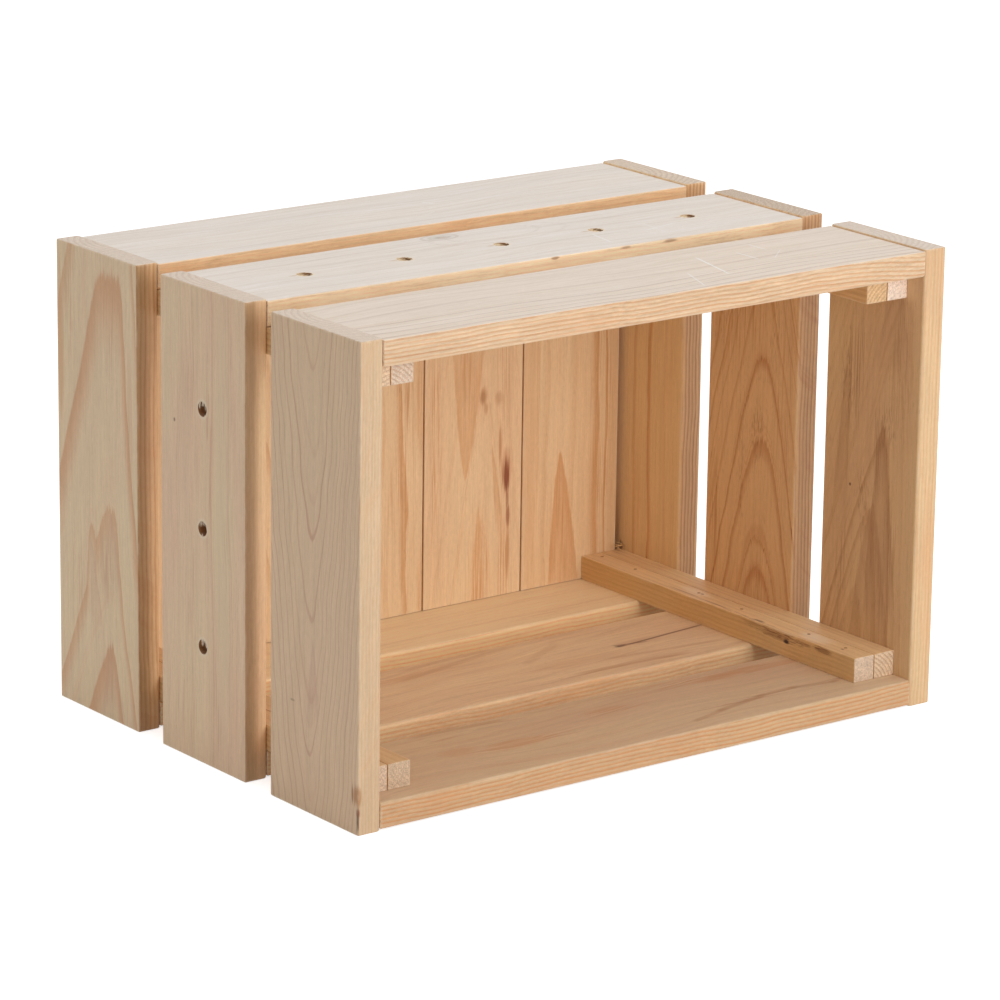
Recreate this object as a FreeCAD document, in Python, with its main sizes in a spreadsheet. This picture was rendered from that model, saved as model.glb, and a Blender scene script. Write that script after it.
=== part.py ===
import FreeCAD, Part
import os
import Sketcher
from FreeCAD import Placement, Rotation, Vector

# A slatted pine box for kindling, lying on one long side with its mouth towards -Y.
# X runs along the long side, Y from the mouth to the back panel, and Z is up.
# The origin is the middle of the footprint, on the surface that the box stands on.
# Four slatted panels meet at the corners: the side panels' slats run the full height
# and the long slats are butted between them. The back panel closes the far side.

doc = FreeCAD.newDocument("KindlingBox")
sizes = doc.addObject("Spreadsheet::Sheet", "Sizes")

driving_dimensions = [
    ("box_wide", 384, "outside, over both side panels"),
    ("box_high", 256, "length of an upright slat"),
    ("slat_wide", 78, "along the depth of the box"),
    ("slat_gap", 23, "open slot between two slats"),
    ("slat_thick", 14, "all slats"),
    ("end_recess", 1, "long slats stop this far inside the upright slats' ends"),
    ("arris", 0.8, "rounding along the outer edges of slats"),
    ("inner_arris", 2, "rounding along the two long edges inside the box"),
    ("batten_size", 14, "square section"),
    ("batten_gap", 0.5, "between the two battens of a corner"),
    ("batten_setback", 14, "batten ends behind the mouth"),
    ("batten_arris", 0.5, "rounding along the edges of battens and back boards"),
    ("back_board_wide", 69, "five upright boards"),
    ("back_board_pitch", 70, "centre to centre"),
    ("back_board_thick", 10, "front board layer of the back panel"),
    ("back_clearance", 0.2, "above and below the back panel"),
    ("rail_wide", 34, "height of a rail behind the back boards"),
    ("rail_thick", 14, "rear layer of the back panel"),
    ("dowel_hole_wide", 8, "diameter of the blind holes in the middle slats"),
    ("dowel_hole_deep", 10, "from the outer face"),
    ("dowel_pitch", 64, "centre to centre"),
    ("pin_wide", 6, "diameter of the wooden corner pins"),
    ("pin_in_inner", 10, "pin depth in the inner batten"),
    ("pin_in_outer", 12, "pin depth in the outer batten"),
    ("pin_row", 93, "outer pins, from the middle of the depth"),
    ("nail_wide", 1.4, "shank diameter"),
    ("nail_head_wide", 2, "head diameter"),
    ("nail_head_thick", 0.8, "head, sunk flush with the wood"),
    ("nail_tip", 2, "length of the point"),
    ("batten_nail_long", 25, "nails through the battens into the slats"),
    ("back_nail_long", 20, "nails through the rails into the back boards"),
    ("nail_offset", 2, "nails off the inner battens' centre line, towards the corner"),
    ("nail_middle", 19, "from the centre line of a middle slat"),
    ("nail_near", 24, "from the centre line of an outer slat, towards the middle"),
    ("nail_far", 7, "from the centre line of an outer slat, away from the middle"),
    ("back_nail_half", 18, "from the centre line of a back board"),
    ("screw_wide", 4, "shank diameter"),
    ("screw_head_wide", 8, "countersunk head"),
    ("screw_long", 40, "over all"),
    ("screw_tip", 5, "length of the point"),
    ("screw_offset", 3, "screws off the inner battens' centre line, away from the corner"),
    ("recess_wide", 4.6, "cross recess, from end to end"),
    ("recess_slot", 0.9, "cross recess, width of one slot"),
    ("recess_deep", 1.6, "cross recess"),
    ("hole_ease", 0.1, "holes wider than what they hold, on the diameter"),
]
for row, (alias, value, note) in enumerate(driving_dimensions, 1):
    sizes.set(f"A{row}", alias)
    sizes.set(f"B{row}", str(value))
    sizes.set(f"C{row}", note)
    sizes.setAlias(f"B{row}", alias)
doc.recompute()


def cell(alias):
    return f"Sizes.{alias}"


def total(*terms):
    return "(" + " + ".join(terms) + ")"


def minus(term):
    return f"(-1 * {term})"


# Planes and rows that more than one piece shares, worked out from the sheet.
slat_pitch = total(cell("slat_wide"), cell("slat_gap"))
box_deep = f"(3 * {cell('slat_wide')} + 2 * {cell('slat_gap')})"
side_face = f"({cell('box_wide')} / 2 - {cell('slat_thick')})"
bottom_face = total(cell("end_recess"), cell("slat_thick"))
top_face = total(cell("box_high"), minus(bottom_face))
mid_height = f"({cell('box_high')} / 2)"
rear_face = f"({box_deep} / 2)"
rail_face = total(rear_face, minus(cell("rail_thick")))
panel_face = total(rail_face, minus(cell("back_board_thick")))
batten_front = total(rear_face, minus(cell("batten_setback")))
batten_long = total(batten_front, panel_face)
half_batten = f"({cell('batten_size')} / 2)"
outer_batten = total(side_face, minus(half_batten))
inner_batten = total(outer_batten, minus(cell("batten_size")), minus(cell("batten_gap")))
batten_drop = f"({mid_height} - {bottom_face} - {half_batten})"
nail_line = total(inner_batten, cell("nail_offset"))
screw_line = total(inner_batten, minus(cell("screw_offset")))
nail_depth = total(cell("batten_nail_long"), minus(cell("batten_size")))
back_board_high = f"({top_face} - {bottom_face} - 2 * {cell('back_clearance')})"
panel_wide = total(f"4 * {cell('back_board_pitch')}", cell("back_board_wide"))
rail_drop = f"({back_board_high} / 2 - {cell('rail_wide')} / 2)"
pin_hole = total(cell("pin_wide"), cell("hole_ease"))
nail_hole = total(cell("nail_wide"), cell("hole_ease"))
nail_head_hole = total(cell("nail_head_wide"), cell("hole_ease"))
screw_hole = total(cell("screw_wide"), cell("hole_ease"))
screw_head_hole = total(cell("screw_head_wide"), cell("hole_ease"))
screw_in_batten = f"({cell('screw_long')} - {cell('rail_thick')} - {cell('back_board_thick')})"

# Nails of one slat, from its centre line; the front slat mirrors the rear one.
slat_rows = {
    "front": [cell("nail_near"), minus(cell("nail_far"))],
    "middle": [cell("nail_middle"), minus(cell("nail_middle"))],
    "rear": [minus(cell("nail_near")), cell("nail_far")],
}
slat_places = {"front": minus(slat_pitch), "middle": "0", "rear": slat_pitch}
nail_rows = [total(slat_places[ring], row) for ring in slat_rows for row in slat_rows[ring]]
pin_rows = [minus(cell("pin_row")), "0", cell("pin_row")]
back_columns = [f"({step} * {cell('back_board_pitch')})" for step in range(-2, 3)]

right, rearward, up = Vector(1, 0, 0), Vector(0, 1, 0), Vector(0, 0, 1)


def turned(along, across, outward):
    """Rotation that lays a piece's own X, Y and Z along the given directions."""
    return Rotation(along, across, outward, "ZXY")


def place(thing, rotation, x="0", y="0", z="0"):
    thing.Placement = Placement(Vector(0, 0, 0), rotation)
    thing.setExpression("Placement.Base.x", x)
    thing.setExpression("Placement.Base.y", y)
    thing.setExpression("Placement.Base.z", z)


def new_body(label):
    body = doc.addObject("PartDesign::Body", label)
    body.Label = label
    return body


def new_sketch(body, name, role="XY_Plane", offset="0"):
    plane = next(feature for feature in body.Origin.OriginFeatures if feature.Role == role)
    sketch = body.newObject("Sketcher::SketchObject", body.Name + "_" + name)
    sketch.AttachmentSupport = (plane, [""])
    sketch.MapMode = "FlatFace"
    sketch.setExpression("AttachmentOffset.Base.z", offset)
    return sketch


def fix_point(sketch, geometry, point, x, y):
    """Ties a point to its distances from the sketch's origin."""
    for axis, kind, value in ((-2, "DistanceX", x), (-1, "DistanceY", y)):
        if value == "0":
            sketch.addConstraint(Sketcher.Constraint("PointOnObject", geometry, point, axis))
        else:
            index = sketch.addConstraint(Sketcher.Constraint(kind, -1, 1, geometry, point, 1.0))
            sketch.setExpression(f"Constraints[{index}]", value)


def draw_rectangle(sketch, left, bottom, wide, high):
    corners = [Vector(-5, -5, 0), Vector(5, -5, 0), Vector(5, 5, 0), Vector(-5, 5, 0)]
    for start in range(4):
        sketch.addGeometry(Part.LineSegment(corners[start], corners[(start + 1) % 4]), False)
    for line in range(4):
        sketch.addConstraint(Sketcher.Constraint("Coincident", line, 2, (line + 1) % 4, 1))
    for line, direction in enumerate(("Horizontal", "Vertical", "Horizontal", "Vertical")):
        sketch.addConstraint(Sketcher.Constraint(direction, line))
    fix_point(sketch, 0, 1, left, bottom)
    for line, kind, length in ((0, "DistanceX", wide), (1, "DistanceY", high)):
        index = sketch.addConstraint(Sketcher.Constraint(kind, line, 1, line, 2, 10.0))
        sketch.setExpression(f"Constraints[{index}]", length)


def draw_circles(sketch, centres, wide):
    for x, y in centres:
        circle = sketch.addGeometry(Part.Circle(Vector(1, 1, 0), Vector(0, 0, 1), 1.0), False)
        index = sketch.addConstraint(Sketcher.Constraint("Diameter", circle, 2.0))
        sketch.setExpression(f"Constraints[{index}]", wide)
        fix_point(sketch, circle, 3, x, y)


def pad(body, name, sketch, length):
    feature = body.newObject("PartDesign::Pad", body.Name + "_" + name)
    feature.Profile = sketch
    feature.setExpression("Length", length)
    sketch.Visibility = False
    return feature


def is_sharp(shape, edge):
    """True where two faces meet at an angle, and not where one runs smoothly into the other."""
    middle = edge.valueAt((edge.FirstParameter + edge.LastParameter) / 2)
    normals = [face.normalAt(*face.Surface.parameter(middle))
               for face in shape.ancestorsOfType(edge, Part.Face)]
    return len(normals) == 2 and abs(normals[0].dot(normals[1])) < 0.9


def is_long_inner(shape, edge):
    """True for the two edges that run along a slat's length on its own XY plane."""
    box = edge.BoundBox
    return box.ZMax < 0.001 and box.XLength > box.YLength


def round_edges(body, base, name, radius, chosen=is_sharp):
    feature = body.newObject("PartDesign::Fillet", body.Name + "_" + name)
    doc.recompute()
    shape = base.Shape
    feature.Base = (base, [f"Edge{number}" for number, edge in enumerate(shape.Edges, 1)
                           if chosen(shape, edge)])
    feature.setExpression("Radius", radius)
    return feature


def drill(body, name, centres, wide, deep, role="XY_Plane", offset="0", flipped=False):
    """Round blind holes, cut against the plane's normal unless flipped."""
    sketch = new_sketch(body, name + "_places", role, offset)
    draw_circles(sketch, centres, wide)
    feature = body.newObject("PartDesign::Pocket", body.Name + "_" + name)
    feature.Profile = sketch
    feature.Type = 0
    feature.Reversed = flipped
    feature.setExpression("Length", deep)
    sketch.Visibility = False
    return feature


def board(label, long, wide, thick, radius, start=None, inner_radius=None):
    """A board lying on its own XY plane, its length along X; start is its low X end."""
    body = new_body(label)
    outline = new_sketch(body, "outline")
    draw_rectangle(outline, start or minus(f"({long} / 2)"), minus(f"({wide} / 2)"), long, wide)
    blank = pad(body, "blank", outline, thick)
    if inner_radius:
        blank = round_edges(body, blank, "inner_arris", inner_radius, is_long_inner)
    doc.recompute()
    round_edges(body, blank, "arris", radius)
    return body


def drill_dowel_row(body, count):
    """A row of dowel holes in the outer face, along the middle of a slat."""
    span = f"({count - 1} * {cell('dowel_pitch')})"
    first = drill(body, "dowel_hole", [(minus(f"({span} / 2)"), "0")],
                  cell("dowel_hole_wide"), cell("dowel_hole_deep"), offset=cell("slat_thick"))
    row = body.newObject("PartDesign::LinearPattern", body.Name + "_dowel_row")
    row.Originals = [first]
    row.Direction = (first.Profile[0], ["H_Axis"])
    row.setExpression("Length", span)
    row.Occurrences = count
    body.Tip = row


def slat(label, ring, long, nail_place, dowels, rotation, x, z):
    """One slat of a ring, nailed from its inner face and drilled in its outer face."""
    body = board(label, long, cell("slat_wide"), cell("slat_thick"), cell("arris"),
                 inner_radius=cell("inner_arris"))
    nails = [(end, row) for end in (nail_place, minus(nail_place)) for row in slat_rows[ring]]
    drill(body, "nail_holes", nails, nail_hole, nail_depth, flipped=True)
    if ring == "middle":
        drill_dowel_row(body, dowels)
    place(body, rotation, x, slat_places[ring], z)
    return body


def side_slats():
    left = turned(up, rearward, -right)
    mirrored = turned(-up, rearward, right)
    panels = (("left", left, minus(side_face)), ("right", mirrored, side_face))
    return [slat(f"{side}_board_{ring}", ring, cell("box_high"), batten_drop, 3,
                 rotation, x, mid_height)
            for side, rotation, x in panels for ring in slat_rows]


def long_slats():
    length = f"(2 * {side_face})"
    panels = (("top", turned(right, rearward, up), top_face),
              ("bottom", turned(-right, rearward, -up), bottom_face))
    return [slat(f"{side}_board_{ring}", ring, length, nail_line, 5, rotation, "0", z)
            for side, rotation, z in panels for ring in slat_rows]


def nailed_batten(label, nail_place, start):
    """A batten whose nail heads lie in its own +Z face; its length runs along its X."""
    size = cell("batten_size")
    body = board(label, batten_long, size, size, cell("batten_arris"), start)
    nails = [(row, nail_place) for row in nail_rows]
    drill(body, "nail_heads", nails, nail_head_hole, cell("nail_head_thick"), offset=size)
    drill(body, "nail_holes", nails, nail_hole, size, offset=size)
    return body


def outer_battens():
    """Battens nailed to the side panels; the corner pins enter their inner faces."""
    battens = []
    for side, outward, sign in (("left", right, minus("1")), ("right", -right, "1")):
        for level, z in (("bottom", minus(batten_drop)), ("top", batten_drop)):
            body = nailed_batten(f"{side}_batten_{level}", "0", minus(batten_front))
            drill(body, "pin_holes", [(row, "0") for row in pin_rows], pin_hole,
                  cell("pin_in_outer"), offset=cell("batten_size"))
            across = outward.cross(rearward)
            place(body, turned(rearward, across, outward), f"{sign} * {side_face}", "0",
                  total(mid_height, z))
            battens.append(body)
    return battens


def inner_battens():
    """Battens nailed to the long panels; screws from the back panel enter their rear ends."""
    battens = []
    for level, outward, z in (("bottom", up, bottom_face), ("top", -up, top_face)):
        for side, corner in (("left", -right), ("right", right)):
            along = outward.cross(corner)
            reversed_run = along.y < 0
            start = minus(panel_face) if reversed_run else minus(batten_front)
            rear_end = minus(panel_face) if reversed_run else panel_face
            body = nailed_batten(f"{level}_batten_{side}", minus(cell("nail_offset")), start)
            drill(body, "pin_holes", [(row, half_batten) for row in pin_rows], pin_hole,
                  cell("pin_in_inner"), "XZ_Plane", half_batten)
            drill(body, "screw_hole", [(cell("screw_offset"), half_batten)], screw_hole,
                  screw_in_batten, "YZ_Plane", rear_end, flipped=reversed_run)
            x = inner_batten if side == "right" else minus(inner_batten)
            place(body, turned(along, -corner, outward), x, "0", z)
            battens.append(body)
    return battens


def back_boards():
    boards = []
    for number, column in enumerate(back_columns, 1):
        body = board(f"back_board_{number}", back_board_high, cell("back_board_wide"),
                     cell("back_board_thick"), cell("batten_arris"))
        half = cell("back_nail_half")
        nails = [(end, row) for end in (rail_drop, minus(rail_drop)) for row in (half, minus(half))]
        drill(body, "nail_holes", nails, nail_hole,
              total(cell("back_nail_long"), minus(cell("rail_thick"))),
              offset=cell("back_board_thick"))
        if number in (1, len(back_columns)):
            line = minus(screw_line) if number == 1 else screw_line
            screws = [(end, total(line, minus(column))) for end in (batten_drop, minus(batten_drop))]
            drill(body, "screw_holes", screws, screw_hole, cell("back_board_thick"),
                  offset=cell("back_board_thick"))
        place(body, turned(up, right, rearward), column, panel_face, mid_height)
        boards.append(body)
    return boards


def back_rails():
    """Rails across the back boards; the upper one is the lower one turned over."""
    rails = []
    thick = cell("rail_thick")
    for level, along, sign in (("lower", right, "-1"), ("upper", -right, "1")):
        body = board(f"back_rail_{level}", panel_wide, cell("rail_wide"), thick, cell("batten_arris"))
        half = cell("back_nail_half")
        nails = [(total(column, row), "0") for column in back_columns for row in (half, minus(half))]
        drill(body, "nail_heads", nails, nail_head_hole, cell("nail_head_thick"), offset=thick)
        drill(body, "nail_holes", nails, nail_hole, thick, offset=thick)
        edge = total(batten_drop, minus(rail_drop))
        places = new_sketch(body, "screw_places", offset=thick)
        draw_circles(places, [(screw_line, edge), (minus(screw_line), edge)], screw_hole)
        doc.recompute()
        hole = body.newObject("PartDesign::Hole", body.Name + "_screw_holes")
        hole.Profile = places
        doc.recompute()
        hole.ThreadType = 0
        hole.setExpression("Diameter", screw_hole)
        hole.DepthType = "ThroughAll"
        hole.HoleCutType = "Countersink"
        hole.HoleCutCustomValues = True
        hole.setExpression("HoleCutDiameter", screw_head_hole)
        hole.HoleCutCountersinkAngle = 90
        places.Visibility = False
        place(body, turned(along, rearward.cross(along), rearward), "0", rail_face,
              total(mid_height, f"{sign} * {rail_drop}"))
        rails.append(body)
    return rails


def turned_profile(label, outline):
    """A solid of revolution about its own Z from (radius, height) corners."""
    body = new_body(label)
    sketch = new_sketch(body, "profile", "XZ_Plane")
    count = len(outline)
    for number in range(count):
        start = Vector(number, -number * number, 0)
        end = Vector((number + 1) % count, -((number + 1) % count) ** 2, 0)
        sketch.addGeometry(Part.LineSegment(start, end), False)
    for line in range(count):
        sketch.addConstraint(Sketcher.Constraint("Coincident", line, 2, (line + 1) % count, 1))
    for line, (radius, height) in enumerate(outline):
        fix_point(sketch, line, 1, radius, height)
    feature = body.newObject("PartDesign::Revolution", label + "_turned")
    feature.Profile = sketch
    feature.ReferenceAxis = (sketch, ["V_Axis"])
    feature.Angle = 360
    sketch.Visibility = False
    return body


def nail(label, long):
    """A flat-headed nail driven down its own -Z, the top of its head at the origin."""
    head, shank = f"({cell('nail_head_wide')} / 2)", f"({cell('nail_wide')} / 2)"
    neck, foot = minus(cell("nail_head_thick")), minus(total(long, minus(cell("nail_tip"))))
    return turned_profile(label, [("0", "0"), (head, "0"), (head, neck), (shank, neck),
                                  (shank, foot), ("0", minus(long))])


def screw(label):
    """A countersunk wood screw driven down its own -Z, with a cross recess in its head."""
    long = cell("screw_long")
    head, shank = f"({cell('screw_head_wide')} / 2)", f"({cell('screw_wide')} / 2)"
    neck = total(shank, minus(head))
    foot = minus(total(long, minus(cell("screw_tip"))))
    body = turned_profile(label, [("0", "0"), (head, "0"), (shank, neck), (shank, foot),
                                  ("0", minus(long))])
    for name, wide, high in (("slot_across", "recess_wide", "recess_slot"),
                             ("slot_along", "recess_slot", "recess_wide")):
        slot = new_sketch(body, name)
        draw_rectangle(slot, f"(-0.5 * {cell(wide)})", f"(-0.5 * {cell(high)})", cell(wide), cell(high))
        cut = body.newObject("PartDesign::Pocket", f"{label}_{name}_cut")
        cut.Profile = slot
        cut.setExpression("Length", cell("recess_deep"))
        slot.Visibility = False
    return body


def pin(label):
    """A wooden pin lying along its own X, its inner end at the origin."""
    body = new_body(label)
    section = new_sketch(body, "section", "YZ_Plane")
    draw_circles(section, [("0", "0")], cell("pin_wide"))
    rod = pad(body, "rod", section,
              total(cell("pin_in_inner"), cell("batten_gap"), cell("pin_in_outer")))
    round_edges(body, rod, "arris", cell("batten_arris"))
    return body


def group(label, master, places):
    """Copies of one fastener, as separate solids of a single node."""
    copies = []
    for number, (rotation, x, y, z) in enumerate(places, 1):
        copy = doc.addObject("App::Link", f"{label}_{number}")
        copy.LinkedObject = master
        place(copy, rotation, x, y, z)
        copies.append(copy)
    compound = doc.addObject("Part::Compound", label)
    compound.Label = label
    compound.Links = copies
    return compound


def batten_nails(master):
    """The nails of the four slatted panels, driven outwards from inside the box."""
    heads = total(side_face, minus(cell("batten_size")))
    groups = []
    for side, outward, sign in (("left", right, "-1"), ("right", -right, "1")):
        rotation = turned(rearward, outward.cross(rearward), outward)
        places = [(rotation, f"{sign} * {heads}", row, total(mid_height, level))
                  for level in (minus(batten_drop), batten_drop) for row in nail_rows]
        groups.append(group(f"{side}_panel_nails", master, places))
    for side, outward, face, sign in (("bottom", up, bottom_face, "1"), ("top", -up, top_face, "-1")):
        rotation = turned(rearward, outward.cross(rearward), outward)
        level = total(face, f"{sign} * {cell('batten_size')}")
        places = [(rotation, line, row, level)
                  for line in (minus(nail_line), nail_line) for row in nail_rows]
        groups.append(group(f"{side}_panel_nails", master, places))
    return groups


def back_fasteners(nail_master, screw_master):
    rotation = turned(right, rearward.cross(right), rearward)
    half = cell("back_nail_half")
    nails = [(rotation, total(column, row), rear_face, total(mid_height, level))
             for level in (minus(rail_drop), rail_drop)
             for column in back_columns for row in (minus(half), half)]
    screws = [(rotation, line, rear_face, total(mid_height, level))
              for level in (minus(batten_drop), batten_drop)
              for line in (minus(screw_line), screw_line)]
    return [group("back_panel_nails", nail_master, nails),
            group("back_panel_screws", screw_master, screws)]


def corner_pins(master):
    """Three pins across each pair of battens, from the inner batten into the outer one."""
    start = total(inner_batten, half_batten, minus(cell("pin_in_inner")))
    groups = []
    for level, z in (("bottom", minus(batten_drop)), ("top", batten_drop)):
        for side, rotation, x in (("left", turned(-right, -rearward, up), minus(start)),
                                  ("right", turned(right, rearward, up), start)):
            places = [(rotation, x, row, total(mid_height, z)) for row in pin_rows]
            groups.append(group(f"corner_pins_{level}_{side}", master, places))
    return groups


def check_and_write(nodes):
    failed = [thing.Name for thing in doc.Objects
              if any(word in thing.State for word in ("Invalid", "Error"))]
    if failed:
        raise RuntimeError(f"failed objects: {failed}")
    os.makedirs("parts", exist_ok=True)
    for node in nodes:
        if node.Shape.isNull() or not node.Shape.isValid():
            raise RuntimeError(f"bad shape: {node.Label}")
    for node in nodes:
        node.Shape.exportStep(f"parts/{node.Label}.step")
        print(f"{node.Label:28s} {len(node.Shape.Solids):3d} solids {node.Shape.Volume:10.0f} mm3")


wood_pieces = side_slats() + long_slats() + outer_battens() + inner_battens()
wood_pieces += back_boards() + back_rails()
batten_nail = nail("batten_nail", cell("batten_nail_long"))
back_nail = nail("back_nail", cell("back_nail_long"))
back_screw = screw("back_screw")
corner_pin = pin("corner_pin")
doc.recompute()
fasteners = batten_nails(batten_nail) + back_fasteners(back_nail, back_screw)
fasteners += corner_pins(corner_pin)
doc.recompute()
check_and_write(wood_pieces + fasteners)
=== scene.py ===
import math
import random
import bpy
import bmesh
from mathutils import Matrix, Vector


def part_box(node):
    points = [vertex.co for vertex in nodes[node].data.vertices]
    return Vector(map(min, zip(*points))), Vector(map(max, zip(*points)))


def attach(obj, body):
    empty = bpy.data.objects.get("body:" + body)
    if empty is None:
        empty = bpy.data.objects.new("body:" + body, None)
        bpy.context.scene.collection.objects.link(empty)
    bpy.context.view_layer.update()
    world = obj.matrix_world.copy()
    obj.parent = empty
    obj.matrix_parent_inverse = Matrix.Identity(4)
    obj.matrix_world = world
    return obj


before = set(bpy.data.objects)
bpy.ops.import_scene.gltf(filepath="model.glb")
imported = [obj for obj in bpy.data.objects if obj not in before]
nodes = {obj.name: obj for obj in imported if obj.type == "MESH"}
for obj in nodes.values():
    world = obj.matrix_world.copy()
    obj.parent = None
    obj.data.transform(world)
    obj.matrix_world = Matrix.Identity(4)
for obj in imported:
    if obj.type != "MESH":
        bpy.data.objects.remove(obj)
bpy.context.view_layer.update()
mm = 0.001
print("frame loaded:", len(nodes), "pieces")


class Field:
    # A number that varies over a surface, so that 1 - mask and mask * 0.5 add Math nodes
    def __init__(self, recipe, socket):
        self.recipe = recipe
        self.socket = socket

    def math(self, operation, *others):
        return self.recipe.math(operation, self, *others)

    def __add__(self, other):
        return self.math("ADD", other)

    def __radd__(self, other):
        return self.recipe.math("ADD", other, self)

    def __sub__(self, other):
        return self.math("SUBTRACT", other)

    def __rsub__(self, other):
        return self.recipe.math("SUBTRACT", other, self)

    def __mul__(self, other):
        return self.math("MULTIPLY", other)

    def __rmul__(self, other):
        return self.recipe.math("MULTIPLY", other, self)

    def __truediv__(self, other):
        return self.math("DIVIDE", other)

    def __neg__(self):
        return self.math("MULTIPLY", -1.0)

    def __abs__(self):
        return self.math("ABSOLUTE")

    def smaller(self, other):
        return self.math("MINIMUM", other)

    def larger(self, other):
        return self.math("MAXIMUM", other)

    def above(self, limit):
        return self.math("GREATER_THAN", limit)

    def step(self, low, high, shape="SMOOTHSTEP"):
        # 0 at low and 1 at high, smooth between; low may be the larger
        ports = {"Value": self, "From Min": low, "From Max": high}
        return self.recipe.add("ShaderNodeMapRange", {"interpolation_type": shape}, ports)

    def rise(self, low, high):
        # 0 at low and 1 at high, straight between
        return self.step(low, high, "LINEAR")


class Recipe:
    # The nodes of one material, or of the world
    def __init__(self, owner):
        self.owner = owner
        owner.use_nodes = True
        self.tree = owner.node_tree
        self.tree.nodes.clear()

    def add(self, kind, settings=None, ports=(), output=0):
        node = self.tree.nodes.new(kind)
        for name, value in (settings or {}).items():
            if name == "stops":
                ramp = node.color_ramp.elements
                while len(ramp) < len(value):
                    ramp.new(0.5)
                for element, (place, shade) in zip(ramp, value):
                    element.position = place
                    element.color = (shade, shade, shade, 1)
            elif name == "interpolation":
                node.color_ramp.interpolation = value
            else:
                setattr(node, name, value)
        pairs = ports.items() if isinstance(ports, dict) else enumerate(ports)
        for name, value in pairs:
            socket = node.inputs[name]
            if isinstance(value, Field):
                self.tree.links.new(value.socket, socket)
            else:
                socket.default_value = value
        return Field(self, node.outputs[output]) if len(node.outputs) else None

    def outputs(self, field, *names):
        return [Field(self, field.socket.node.outputs[name]) for name in names]

    def split(self, vector, *axes):
        return self.outputs(self.add("ShaderNodeSeparateXYZ", {}, (vector,)), *axes)

    def math(self, operation, *parts):
        return self.add("ShaderNodeMath", {"operation": operation}, parts)

    def mix(self, factor, first, second, blend="MIX"):
        ports = {0: factor, 6: first, 7: second}              # 6 and 7 are its colour sockets
        return self.add("ShaderNodeMix", {"data_type": "RGBA", "blend_type": blend}, ports, 2)

    def vector(self, operation, *parts):
        return self.add("ShaderNodeVectorMath", {"operation": operation}, parts)

    def join(self, *parts):
        return self.add("ShaderNodeCombineXYZ", {}, parts)

    def shade(self, *parts):
        return self.add("ShaderNodeCombineColor", {}, parts * (3 if len(parts) == 1 else 1))

    def tinted(self, colour, *parts):
        return self.mix(1.0, colour, self.shade(*parts), "MULTIPLY")

    def noise(self, point, scale, detail=2.0, roughness=0.5, output=0):
        stretched = self.vector("MULTIPLY", point, scale)
        ports = {"Vector": stretched, "Scale": 1.0, "Detail": detail, "Roughness": roughness}
        return self.add("ShaderNodeTexNoise", {}, ports, output)

    def surface(self, shader, kind="ShaderNodeOutputMaterial"):
        self.add(kind, {}, {"Surface": shader})
        return self.owner


def newRecipe(name):
    return Recipe(bpy.data.materials.new(name))


def paint(red, green, blue):
    # Screen colour in 0 to 255 to the linear values that Blender works in
    def linear(value):
        share = value / 255
        return share / 12.92 if share <= 0.04045 else ((share + 0.055) / 1.055) ** 2.4
    return (linear(red), linear(green), linear(blue), 1)


pineLook = {
    "endLate": (188, 142, 102), "duct": (120, 76, 46), "worn": (242, 222, 194), "bore": (172, 116, 66),
    "ductShare": 0.7, "arrisWearAndHighlightShare": 0.35, "rimShare": 0.6, "boreShare": 0.85, "rim": (5.6, 5.2),
    "hairTone": 0.36, "veinTone": 0.22, "flowTone": 0.14, "gritTone": 0.2, "fuzzTone": 0.4,
    "redder": (1.0, 1.12, 1.28),            # darker wood loses more green and blue than red
    "roughness": 0.52, "hairRough": 0.2, "lateSmooth": 0.06, "endRough": 0.25, "dustRough": 0.05,
    "sheen": 0.3, "sheenRoughness": 0.4, "refraction": 1.46, "bump": 0.6, "bumpDepth": 0.15 * mm,
    "hairHigh": 0.5, "lateHigh": 0.25, "ductDeep": 0.6, "poreHigh": 1.3, "veinHigh": 0.25,
    "endNormal": 0.72, "faceNormal": 0.69,  # how squarely a surface has to look to count as one
    "firstSeed": 1.0, "seedStep": 1.37, "seedShift": 97.0,
}
dustAndSheenLook = {
    "hairTone": 0.26, "veinTone": 0.24, "flowTone": 0.12, "lateTone": 0.18, "gritTone": 0.12,
    "redder": (1.0, 1.2, 1.5), "cover": 0.45, "cloudCover": 0.35, "hairCover": 0.5, "veinCover": 0.3,
}
growth = {
    "chance": 1.2, "chanceStep": 2.2, "chanceSeed": 7.3,      # how unevenly years follow beyond the tips
    "leastBlunt": 0.5, "leastSlope": 0.6, "leastRound": 2.0, "calmLimbs": 0.8, "sawn": 0.2,
    "lineRagged": 1.2, "lineSlant": 0.25, "edgeWave": 2.6, "edgeDrift": 5, "edgeRagged": 0.5,
    "edgeBand": (0.35, 0.8), "close": (1.0, 0.96), "swingReach": 4, "flowAlong": 1 / 110,
}
# Where a mask is 0 and where it is 1, of a noise or a normal, in half sizes of a mark or in millimetres
fades = {
    "outer": (0.6, 0.9), "duct": (0.64, 0.76), "fleck": (0.5, 0.62), "thread": (0.5, 0.62),
    "warm": (0.3, 0.75), "flow": (0.5, 0.8), "patch": (1.15, 0.3), "stain": (1.15, 0.4),
    "knot": (1.2, 0.3), "rim": (1.08, 0.85), "bore": (1.0, 0.95),
    "arris": (1.6, 0.4), "rubbed": (0.35, 0.7), "edge": (-3.0, 3.0),
}
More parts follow.
